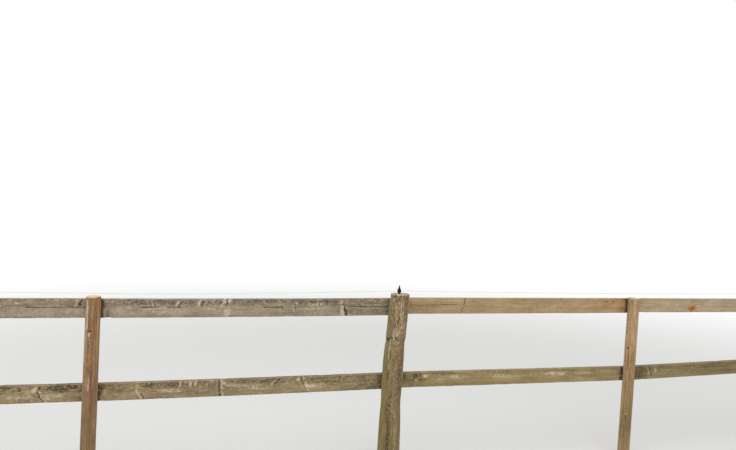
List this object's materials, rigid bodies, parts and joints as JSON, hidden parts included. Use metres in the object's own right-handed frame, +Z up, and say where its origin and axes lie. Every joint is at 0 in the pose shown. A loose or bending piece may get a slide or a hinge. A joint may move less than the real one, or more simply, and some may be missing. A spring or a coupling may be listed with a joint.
{
  "type": "timber paddock fence",
  "caption": "Run of weathered timber post-and-rail paddock fence with round posts, flat rails nailed to the back, and an electric strand held above on bulb insulators.",
  "frame": {"origin": "centre of the middle post's foot, at ground level", "axes": "+X along the fence towards the leaning post, +Y towards the field side where the rails are, +Z up"},
  "size_m": [7.0958, 0.1653, 1.233],
  "materials": {
    "old_post": "deeply weathered grey-brown timber with furrows and green algae on one side",
    "brown_post": "newer machine-rounded softwood, warm brown with streaked grain",
    "tan_post": "newer machine-rounded softwood, tan with a grey side",
    "grey_rail": "rough sawn rail weathered grey, mottled dark on its upper half",
    "tan_rail": "rough sawn rail, tan with dark knots and rusty nail stains",
    "pale_rail": "rough sawn rail, pale pinkish grey",
    "insulator_plastic": "black moulded plastic, sun-dulled",
    "pin_steel": "rusted steel",
    "strand": "pale twisted polymer strand"
  },
  "bodies": {
    "root": {"left_end_post": "old_post", "left_post": "brown_post", "middle_post": "old_post", "right_post": "tan_post", "right_end_post": "brown_post", "top_rail_1": "grey_rail", "top_rail_2": "grey_rail", "top_rail_3": "tan_rail", "top_rail_4": "pale_rail", "low_rail_1": "grey_rail", "low_rail_2": "grey_rail", "low_rail_3": "tan_rail", "low_rail_4": "pale_rail", "left_insulator": "insulator_plastic", "middle_insulator": "insulator_plastic", "right_insulator": "insulator_plastic", "left_insulator_pin": "pin_steel", "middle_insulator_pin": "pin_steel", "right_insulator_pin": "pin_steel", "left_strand": "strand", "right_strand": "strand", "left_strand_knot": "strand", "right_strand_knot": "strand"}
  },
  "joints": []
}
